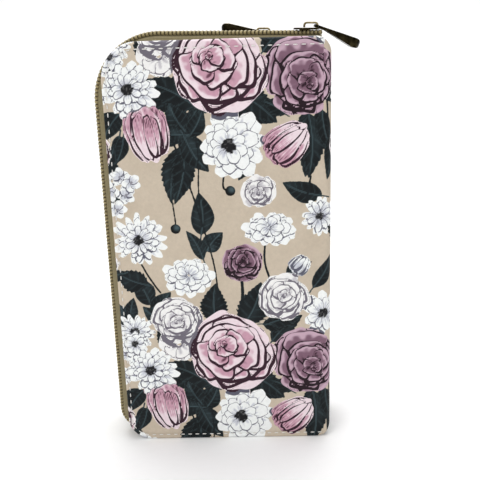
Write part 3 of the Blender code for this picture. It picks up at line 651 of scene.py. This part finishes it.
# The grain of coated cloth: fine pebbles, with finer creases across them.
grain, taken, given = group_tree("pebble grain", [("Scale", 1500.0), ("Height", 1.0)],
                                 [("Height", "NodeSocketFloat"), ("Mask", "NodeSocketFloat")])
place = grain.nodes.new("ShaderNodeTexCoord")
pebble = grain.nodes.new("ShaderNodeTexVoronoi")
pebble.feature = "SMOOTH_F1"
pebble.inputs["Smoothness"].default_value = 0.6
crease = grain.nodes.new("ShaderNodeTexNoise")
crease.inputs["Detail"].default_value = 4
grain.links.new(place.outputs["Object"], pebble.inputs["Vector"])
grain.links.new(place.outputs["Object"], crease.inputs["Vector"])
grain.links.new(taken.outputs["Scale"], pebble.inputs["Scale"])
grain.links.new(maths(grain, "MULTIPLY", taken.outputs["Scale"], 0.45), crease.inputs["Scale"])
raised = maths(grain, "SUBTRACT", 1.0, pebble.outputs["Distance"])
total = maths(grain, "ADD", raised, crease.outputs["Fac"])
grain.links.new(maths(grain, "MULTIPLY", total, taken.outputs["Height"]), given.inputs["Height"])
grain.links.new(crease.outputs["Fac"], given.inputs["Mask"])


def use_group(tree, group, **values):
    """Places a node group in a material with its own values."""
    node = tree.nodes.new("ShaderNodeGroup")
    node.node_tree = group
    for label, value in values.items():
        node.inputs[label].default_value = value
    return node


def bump_into(tree, shader, height, strength, distance):
    """Feeds a height to the shader's normal through a bump node."""
    node = tree.nodes.new("ShaderNodeBump")
    node.inputs["Strength"].default_value = strength
    node.inputs["Distance"].default_value = distance
    tree.links.new(height, node.inputs["Height"])
    tree.links.new(node.outputs["Normal"], shader.inputs["Normal"])


def layered(tree, share, under, over):
    """Mixes two colours by a share."""
    node = tree.nodes.new("ShaderNodeMix")
    node.data_type = "RGBA"
    tree.links.new(share, node.inputs["Factor"])
    for socket, value in ((node.inputs["A"], under), (node.inputs["B"], over)):
        if isinstance(value, tuple):
            socket.default_value = (*value, 1)
        else:
            tree.links.new(value, socket)
    return node.outputs["Result"]


def drawn(tree, name, output="Fac"):
    """An attribute painted on the mesh."""
    node = tree.nodes.new("ShaderNodeAttribute")
    node.attribute_name = name
    return node.outputs[output]


def ranged(tree, value, taken=(0.0, 1.0), given=(0.0, 1.0), kind="LINEAR"):
    """Maps one range of a value to another."""
    node = tree.nodes.new("ShaderNodeMapRange")
    node.interpolation_type = kind
    for label, number in zip(("From Min", "From Max", "To Min", "To Max"), (*taken, *given)):
        node.inputs[label].default_value = number
    tree.links.new(value, node.inputs["Value"])
    return node.outputs["Result"]


def edge_of(tree, distance, soft):
    """1 inside a shape whose signed distance is given, 0 outside."""
    return ranged(tree, distance, (soft, -soft), kind="SMOOTHSTEP")


def cloud(tree, scale, detail=2.0, roughness=0.5):
    """A noise over the object's own coordinates."""
    place, noise = tree.nodes.new("ShaderNodeTexCoord"), tree.nodes.new("ShaderNodeTexNoise")
    for label, value in (("Scale", scale), ("Detail", detail), ("Roughness", roughness)):
        noise.inputs[label].default_value = value
    tree.links.new(place.outputs["Object"], noise.inputs["Vector"])
    return noise.outputs["Fac"]


def pebbled(tree, scale):
    """The pebble grain's mask and height."""
    node = use_group(tree, grain, Scale=scale)
    return node.outputs["Mask"], node.outputs["Height"]


def two_tone(name, roughness, draw, dark, light, strength=0.0, distance=0.0002, sheen=0.0):
    """A material of two colours; draw places its pattern and gives the mask between them and the bump's height."""
    made, nodes, links, shader = new_material(name, roughness)
    mask, height = draw(made.node_tree)
    links.new(layered(made.node_tree, mask, dark, light), shader.inputs["Base Color"])
    if strength:
        bump_into(made.node_tree, shader, height, strength, distance)
    shader.inputs["Sheen Weight"].default_value = sheen
    return made


def dress(node, finish):
    """Gives a plain node of the frame its one material."""
    cad[node].data.materials.clear()
    cad[node].data.materials.append(finish)


printed, nodes, links, shader = new_material("flower printed coated cloth", 0.5)
tree = printed.node_tree
streak = cloud(tree, 650, 5, 0.65)
ground = layered(tree, cloud(tree, 60, 3), (0.52, 0.435, 0.335), (0.67, 0.58, 0.465))
wander = maths(tree, "MULTIPLY_ADD", streak, 0.5, -0.25)
leaf_edge = edge_of(tree, maths(tree, "ADD", drawn(tree, "leaf"), wander), 0.10)
cloth_colour = layered(tree, leaf_edge, ground, drawn(tree, "green", "Color"))
inked = edge_of(tree, maths(tree, "MULTIPLY", drawn(tree, "rim"), -1.0), 0.08)
inked = maths(tree, "MULTIPLY", inked, edge_of(tree, maths(tree, "MULTIPLY_ADD", drawn(tree, "ink"), -1.0, 0.5), 0.14))
flower_colour = layered(tree, inked, drawn(tree, "petal", "Color"), drawn(tree, "crease", "Color"))
flower_edge = edge_of(tree, drawn(tree, "flower"), 0.10)
cloth_colour = layered(tree, flower_edge, cloth_colour, flower_colour)
brushed = nodes.new("ShaderNodeMix")
brushed.data_type = "RGBA"
brushed.blend_type = "MULTIPLY"
brushed.inputs["Factor"].default_value = 1.0
links.new(cloth_colour, brushed.inputs["A"])
links.new(ranged(tree, streak, given=(0.86, 1.10)), brushed.inputs["B"])
links.new(brushed.outputs["Result"], shader.inputs["Base Color"])
pebbles, height = pebbled(tree, 1300.0)
bump_into(tree, shader, height, 0.18, 0.00025)
links.new(ranged(tree, pebbles, given=(0.48, 0.68)), shader.inputs["Roughness"])
shader.inputs["Specular IOR Level"].default_value = 0.2

# The cloth's back: a brushed taupe knit, seen only where a cover is folded open.
backing = two_tone("brushed cloth back", 0.9, lambda tree: pebbled(tree, 2400.0),
                   (0.125, 0.105, 0.080), (0.300, 0.260, 0.205), 0.4)

for piece, body, node in ((front_print, "front_cover", "front_cover_shell"),
                          (back_print, "back_cover", "back_cover_shell"),
                          (spine_print, "root", "spine_shell")):
    piece.data.materials.append(printed)
    piece.data.materials.append(backing)
    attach(piece, body)
    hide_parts(node)
    dress(node, printed)

# The seam that holds each cover to its zip tape: a lockstitch in thick off-white thread, 3.6 mm from stitch to stitch.
def row_of(name, parts=(("Pitch", 0.0036), ("Slant", 0.0))):
    """A geometry tree that sets one shape at even steps along a line, its top turned to the line's facing."""
    tree = bpy.data.node_groups.new(name, "GeometryNodeTree")
    tree.interface.new_socket("Line", in_out="INPUT", socket_type="NodeSocketGeometry")
    for label, value in parts:
        tree.interface.new_socket(label, in_out="INPUT", socket_type="NodeSocketFloat").default_value = value
    tree.interface.new_socket("Shape", in_out="INPUT", socket_type="NodeSocketObject")
    tree.interface.new_socket("Finish", in_out="INPUT", socket_type="NodeSocketMaterial")
    tree.interface.new_socket("Row", in_out="OUTPUT", socket_type="NodeSocketGeometry")
    taken, given = tree.nodes.new("NodeGroupInput"), tree.nodes.new("NodeGroupOutput")
    new, link = tree.nodes.new, tree.links.new
    curve, steps = new("GeometryNodeMeshToCurve"), new("GeometryNodeResampleCurve")
    steps.mode = "LENGTH"
    link(taken.outputs["Line"], curve.inputs[0])
    link(curve.outputs[0], steps.inputs["Curve"])
    link(taken.outputs["Pitch"], steps.inputs["Length"])
    tangent, facing = new("GeometryNodeInputTangent"), new("GeometryNodeInputNamedAttribute")
    facing.data_type = "FLOAT_VECTOR"
    facing.inputs["Name"].default_value = "facing"
    lay, lift = new("FunctionNodeAlignRotationToVector"), new("FunctionNodeAlignRotationToVector")
    lay.axis, lift.axis, lift.pivot_axis = "X", "Z", "X"
    link(tangent.outputs[0], lay.inputs["Vector"])
    link(lay.outputs[0], lift.inputs["Rotation"])
    link(facing.outputs["Attribute"], lift.inputs["Vector"])
    slant, combine = new("FunctionNodeRotateRotation"), new("ShaderNodeCombineXYZ")
    slant.rotation_space = "LOCAL"
    to_turn = new("FunctionNodeEulerToRotation")
    link(taken.outputs["Slant"], combine.inputs["Z"])
    link(combine.outputs[0], to_turn.inputs[0])
    link(lift.outputs[0], slant.inputs["Rotation"])
    link(to_turn.outputs[0], slant.inputs["Rotate By"])
    shape, place = new("GeometryNodeObjectInfo"), new("GeometryNodeInstanceOnPoints")
    link(taken.outputs["Shape"], shape.inputs["Object"])
    link(steps.outputs[0], place.inputs["Points"])
    link(shape.outputs["Geometry"], place.inputs["Instance"])
    link(slant.outputs[0], place.inputs["Rotation"])
    real, finish = new("GeometryNodeRealizeInstances"), new("GeometryNodeSetMaterial")
    link(place.outputs[0], real.inputs[0])
    link(real.outputs[0], finish.inputs["Geometry"])
    link(taken.outputs["Finish"], finish.inputs["Material"])
    link(finish.outputs[0], given.inputs["Row"])
    return tree


def made_plain(piece, modifier):
    """Makes a modifier's result the object's own smooth mesh and takes the modifier off."""
    bpy.context.view_layer.update()
    made = bpy.data.meshes.new_from_object(piece.evaluated_get(bpy.context.evaluated_depsgraph_get()))
    piece.modifiers.remove(modifier)
    piece.data = made
    made.name = piece.name
    made.shade_smooth()


def lay_row(name, tree, line, facing, shape, finish, body, slot, **values):
    """Runs a row tree along a line of points in mm and makes the result one plain mesh on its body."""
    guide = bpy.data.meshes.new(name)
    guide.from_pydata([tuple(c * MM for c in p) for p in line], [(n, n + 1) for n in range(len(line) - 1)], [])
    ways = guide.attributes.new("facing", "FLOAT_VECTOR", "POINT")
    ways.data.foreach_set("vector", np.array(facing, np.float32).ravel())
    piece = bpy.data.objects.new(name, guide)
    bpy.context.scene.collection.objects.link(piece)
    rows = piece.modifiers.new("row", "NODES")
    rows.node_group = tree
    keys = {s.name: s.identifier for s in tree.interface.items_tree if s.in_out == "INPUT"}
    rows[keys["Shape"]] = shape
    rows[keys["Finish"]] = finish
    for label, value in values.items():
        rows[keys[label]] = value
    made_plain(piece, rows)
    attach(piece, body)
    return piece


def thread_bar(name, length, width, height, sides=6, rings=5):
    """A short thread along X with rounded ends, in mm."""
    points, faces = [], []
    for ring in range(rings):
        t = -math.cos(math.pi * (ring + 0.5) / rings)
        girth = (1 - abs(t) ** 4) ** 0.5
        for side in range(sides):
            a = 2 * math.pi * side / sides
            points.append((t * length / 2, math.cos(a) * width / 2 * girth, math.sin(a) * height / 2 * girth))
    for ring in range(rings - 1):
        for side in range(sides):
            a, b = ring * sides + side, ring * sides + (side + 1) % sides
            faces.append((a, b, b + sides, a + sides))
    faces.append(tuple(range(sides))[::-1])
    faces.append(tuple(range((rings - 1) * sides, rings * sides)))
    shape = mesh_piece(name, [(x * MM, y * MM, z * MM) for x, y, z in points], faces)
    shape.hide_render = True
    tidy_faces(shape, 80)
    return shape


def twisted(tree):
    """Slanting bands, the plies of a thread."""
    place, ply = tree.nodes.new("ShaderNodeTexCoord"), tree.nodes.new("ShaderNodeTexWave")
    ply.bands_direction = "DIAGONAL"
    ply.inputs["Scale"].default_value = 900
    ply.inputs["Distortion"].default_value = 2
    tree.links.new(place.outputs["Object"], ply.inputs["Vector"])
    return ply.outputs["Fac"], ply.outputs["Fac"]


def clouded(scale, detail=2.0):
    """Draws one cloud as both mask and height."""
    return lambda tree: (cloud(tree, scale, detail),) * 2


thread = two_tone("off-white sewing thread", 0.7, twisted, (0.66, 0.64, 0.60), (0.92, 0.91, 0.88), 0.5, 0.0001, 0.3)

stitch = thread_bar("stitch_shape", 2.0, 0.5, 0.4)
stitch_row = row_of("stitch row")
for name, side, body in (("front_cover_stitches", -1, "front_cover"), ("back_cover_stitches", 1, "back_cover")):
    line = [(x, side * (DEEP + 0.02), z) for x, z in SEAM if x < 45.4]
    lay_row(name, stitch_row, line, [(0, side, 0)] * len(line), stitch, thread, body, "printed_shell", Pitch=3.6 * MM)


# The two zips: nylon coil, 1.71 mm from turn to turn, sewn on twill tape. Each chain's halves ride on the
# cover and on the divider. The coil stands on a cord core, coloured near-black as painted shade, which shows
# between its turns.
ZIP_LEFT, ZIP_END, ZIP_LOW, ZIP_HIGH = -55.3, 45.9, 1.0, 196.05
R_ZIP_LOW, R_ZIP_HIGH, LEAN = 13.0, 30.0, math.radians(1.4)


def zip_line(drop):
    """The outer face of a zip from its lower end to its upper end: places and outward directions."""
    line = [((ZIP_END - n * (ZIP_END - ZIP_LEFT - R_ZIP_LOW) / 20, ZIP_LOW), (0, -1)) for n in range(20)]
    centre = (ZIP_LEFT + R_ZIP_LOW, ZIP_LOW + R_ZIP_LOW)
    for a in range(0, 19):
        way = (-math.sin(math.radians(a * 5)), -math.cos(math.radians(a * 5)))
        line.append(((centre[0] + R_ZIP_LOW * way[0], centre[1] + R_ZIP_LOW * way[1]), way))
    x = ZIP_LEFT + R_ZIP_HIGH
    centre = (x, ZIP_HIGH - drop - x * math.tan(LEAN) - R_ZIP_HIGH / math.cos(LEAN))
    low = ZIP_LOW + R_ZIP_LOW
    line += [((ZIP_LEFT, low + n * (centre[1] - low) / 30), (-1, 0)) for n in range(1, 30)]
    for a in range(0, 31):
        turned = a / 30 * (math.pi / 2 + LEAN)
        way = (-math.cos(turned), math.sin(turned))
        line.append(((centre[0] + R_ZIP_HIGH * way[0], centre[1] + R_ZIP_HIGH * way[1]), way))
    start = line[-1][0]
    way = (math.sin(LEAN), math.cos(LEAN))
    for n in range(1, 21):
        x = start[0] + n * (ZIP_END - start[0]) / 20
        line.append(((x, start[1] - (x - start[0]) * math.tan(LEAN)), way))
    return line


coil = two_tone("khaki nylon coil", 0.34, clouded(420), (0.225, 0.175, 0.075), (0.50, 0.42, 0.22), 0.2, 0.0001)
# The core cord is real; its near-black colour is painted shade in the gaps between the coil's turns.
core = two_tone("dark core cord", 0.8, clouded(1500), (0.028, 0.021, 0.009), (0.135, 0.108, 0.052), 0.5)

ring, faces = [], []
for n in range(12):
    a = 2 * math.pi * n / 12
    for k in range(6):
        b = 2 * math.pi * k / 6
        thick = 0.30 * math.cos(b)
        ring.append((0.66 * math.sin(b) * MM, (1.06 + thick) * math.cos(a) * MM, (0.80 + thick) * math.sin(a) * MM))
        faces.append((6 * n + k, 6 * n + (k + 1) % 6, 6 * ((n + 1) % 12) + (k + 1) % 6, 6 * ((n + 1) % 12) + k))
turn_shape = mesh_piece("coil_turn", ring, faces)
turn_shape.hide_render = True
tidy_faces(turn_shape, 80)
coil_row = row_of("coil row", (("Pitch", 0.00171), ("Slant", 0.34)))
for name, node, centre, side, drop, body in (
        ("front_zip_outer_coil", "front_cover_chain", -8.4, -1, 0.0, "front_cover"),
        ("front_zip_inner_coil", "front_inner_chain", -8.4, 1, 0.0, "root"),
        ("rear_zip_outer_coil", "back_cover_chain", 8.4, 1, 2.0, "back_cover"),
        ("rear_zip_inner_coil", "rear_inner_chain", 8.4, -1, 2.0, "root")):
    line, facing = [], []
    strip = []
    for (x, z), (nx, nz) in zip_line(drop):
        line.append((x - nx * 1.06, centre + side * 1.62, z - nz * 1.06))
        facing.append((nx, 0, nz))
        for across, deep in ((0.65, 0.42), (2.30, 0.42), (2.45, 0.90), (2.45, 2.25), (0.65, 2.25)):
            strip.append(((x - nx * deep) * MM, (centre + side * across) * MM, (z - nz * deep) * MM))
    lay_row(name, coil_row, line, facing, turn_shape, coil, body, "zip_teeth", Slant=0.34 * side)
    cord = mesh_piece(name.replace("coil", "core"), strip,
                      [(5 * n + k, 5 * n + (k + 1) % 5, 5 * n + 5 + (k + 1) % 5, 5 * n + 5 + k)
                       for n in range(len(line) - 1) for k in range(5)]
                      + [(4, 3, 2, 1, 0), tuple(len(strip) - 5 + k for k in range(5))])
    tidy_faces(cord, 50)
    cord.data.materials.append(core)
    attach(cord, body)
    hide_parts(node)
    dress(node, core)

# The zip tapes: olive khaki polyester woven in a fine herringbone, heat-set and bent down beside the coil.
weave, taken, given = group_tree("woven threads", [("Scale", 1.0), ("Fuzz", 0.3)],
                                 [("Height", "NodeSocketFloat"), ("Mask", "NodeSocketFloat")])
place = weave.nodes.new("ShaderNodeTexCoord")
bands = []
for direction in ("X", "Y", "Z"):
    band = weave.nodes.new("ShaderNodeTexWave")
    band.bands_direction = direction
    band.inputs["Distortion"].default_value = 0.6
    weave.links.new(place.outputs["Object"], band.inputs["Vector"])
    weave.links.new(maths(weave, "MULTIPLY", taken.outputs["Scale"], 520.0), band.inputs["Scale"])
    bands.append(band.outputs["Fac"])
total = maths(weave, "ADD", maths(weave, "ADD", bands[0], bands[1]), bands[2])
total = maths(weave, "MULTIPLY", total, 0.33)
total = maths(weave, "ADD", total, maths(weave, "MULTIPLY", cloud(weave, 1100, 3), taken.outputs["Fuzz"]))
weave.links.new(total, given.inputs["Height"])
weave.links.new(total, given.inputs["Mask"])


def woven(name, dark, light, scale=1.0, fuzz=0.3, sheen=0.2):
    """A cloth material from the woven threads group."""
    def draw(tree):
        cloth = use_group(tree, weave, Scale=scale, Fuzz=fuzz)
        return cloth.outputs["Mask"], cloth.outputs["Height"]
    return two_tone(name, 0.85, draw, dark, light, 0.5, sheen=sheen)


tape = woven("olive khaki twill tape", (0.070, 0.054, 0.020), (0.275, 0.230, 0.120), sheen=0.08)
for node in ("front_cover_tape", "front_inner_tape", "back_cover_tape", "rear_inner_tape", "coin_zip_tape"):
    dress(node, tape)

# The sliders, the arches on them and the pulls: zinc castings plated in antique brass. The flat faces are coloured
# near-black as painted shade, and the rounded edges and the arches bright as painted highlight.
# Their cast edges are softly rounded.
worn, taken, given = group_tree("rubbed plating", [("Scale", 300.0)],
                                [("Mask", "NodeSocketFloat"), ("Height", "NodeSocketFloat")])
place = worn.nodes.new("ShaderNodeTexCoord")
rubs = worn.nodes.new("ShaderNodeTexNoise")
rubs.inputs["Detail"].default_value = 6
worn.links.new(place.outputs["Object"], rubs.inputs["Vector"])
worn.links.new(taken.outputs["Scale"], rubs.inputs["Scale"])
worn.links.new(rubs.outputs["Fac"], given.inputs["Mask"])
worn.links.new(rubs.outputs["Fac"], given.inputs["Height"])


def plated(name, dark, bright, roughness):
    """Antique plating with its own dark and rubbed colours, mottled by a noise; made once near-black as painted shade
    and once bright as painted highlight.
    """
    made, nodes, links, shader = new_material(name, roughness, 1.0)
    rub = use_group(made.node_tree, worn, Scale=420.0)
    mask = ranged(made.node_tree, rub.outputs["Mask"], (0.40, 0.72))
    links.new(layered(made.node_tree, mask, dark, bright), shader.inputs["Base Color"])
    bump_into(made.node_tree, shader, rub.outputs["Height"], 0.15, 0.0002)
    return made


# Two copies of one plating: near-black for the flat faces as painted shade, bright for the rounded edges and the arches
# as painted highlight.
brass = plated("antique brass", (0.006, 0.0045, 0.002), (0.052, 0.042, 0.020), 0.30)
painted_highlight_brass = plated("rubbed brass", (0.20, 0.15, 0.065), (0.66, 0.54, 0.29), 0.28)


def soften(node, name, body, finish, width=0.16):
    """A casting with its edges rounded, in place of the plain one; its rounded edges take the bright brass as painted
    highlight.
    """
    piece = bpy.data.objects.new(name, cad[node].data.copy())
    bpy.context.scene.collection.objects.link(piece)
    shape = bmesh.new()
    shape.from_mesh(piece.data)
    bmesh.ops.remove_doubles(shape, verts=shape.verts, dist=1e-6)
    bmesh.ops.dissolve_limit(shape, angle_limit=math.radians(2), verts=shape.verts, edges=shape.edges)
    bmesh.ops.recalc_face_normals(shape, faces=shape.faces)
    shape.to_mesh(piece.data)
    shape.free()
    bevel = piece.modifiers.new("cast edge", "BEVEL")
    bevel.width = width * MM
    bevel.segments = 3
    bevel.limit_method = "ANGLE"
    bevel.angle_limit = math.radians(28)
    # The rounded edges take the second material, the bright brass, as painted highlight.
    bevel.material = 1
    piece.data.materials.clear()
    piece.data.materials.append(finish)
    piece.data.materials.append(painted_highlight_brass)
    made_plain(piece, bevel)
    piece.data.set_sharp_from_angle(angle=math.radians(42))
    dress(node, finish)
    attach(piece, body)
    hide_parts(node)
    return piece


for zip_name, body in (("front", "front_slider"), ("rear", "rear_slider"), ("coin", "coin_slider")):
    soften(f"{zip_name}_slider_body", f"{zip_name}_slider_casting", body, brass, 0.14)
    # The arch is bright brass all over, a painted highlight.
    soften(f"{zip_name}_slider_crown", f"{zip_name}_slider_arch", body, painted_highlight_brass, 0.12)
    soften(f"{zip_name}_pull", f"{zip_name}_pull_tag", body.replace("slider", "pull"), brass, 0.16)

# Inside: grey stiffening board, a taupe twill lining, sand coated cloth for the card pockets and the coin pocket.
board = two_tone("grey binder board", 0.9, clouded(700, 6), (0.16, 0.15, 0.13), (0.36, 0.34, 0.30), 0.3)
lining = woven("taupe twill lining", (0.110, 0.088, 0.062), (0.300, 0.255, 0.190), scale=0.9, fuzz=0.4)
pocket = two_tone("sand coated cloth", 0.5, lambda tree: pebbled(tree, 1300.0),
                  (0.47, 0.39, 0.295), (0.66, 0.57, 0.45), 0.3, 0.00025)
# The coin zip's chain takes the core cord's material, whose near-black colour is painted shade.
for node in cad:
    for words, finish in ((("board",), board), (("lining",), lining), (("pocket", "welt"), pocket),
                          (("coin_zip_chain",), core)):
        if any(word in node for word in words):
            dress(node, finish)

# Each pocket's open edge is turned and sewn with a fine sand thread, 2.4 mm from stitch to stitch.
fine_thread = thread_bar("pocket_stitch_shape", 1.5, 0.34, 0.26)
fine = two_tone("sand sewing thread", 0.7, clouded(2500), (0.28, 0.22, 0.15), (0.56, 0.47, 0.35))
seams = [(f"{cover}_card_pocket_{n}", cover) for cover in ("front_cover", "back_cover") for n in (1, 2, 3, 4)]
seams += [("slip_pocket", "root"), ("coin_pocket_panel", "root"), ("coin_pocket_welt", "root")]
for node, body in seams:
    low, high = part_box(node)
    side = 1 if node.startswith(("front", "coin")) else -1
    y = high.y if side > 0 else low.y
    x = low.x + 1.6 * MM if node != "coin_pocket_welt" else high.x - 1.6 * MM
    line = [(x / MM, y / MM + side * 0.03, z) for z in np.linspace(17.5, 161.0, 30)]
    lay_row(f"{node}_stitches", stitch_row, line, [(0, side, 0)] * 30, fine_thread, fine, body, "pocket_leather",
            Pitch=2.4 * MM)
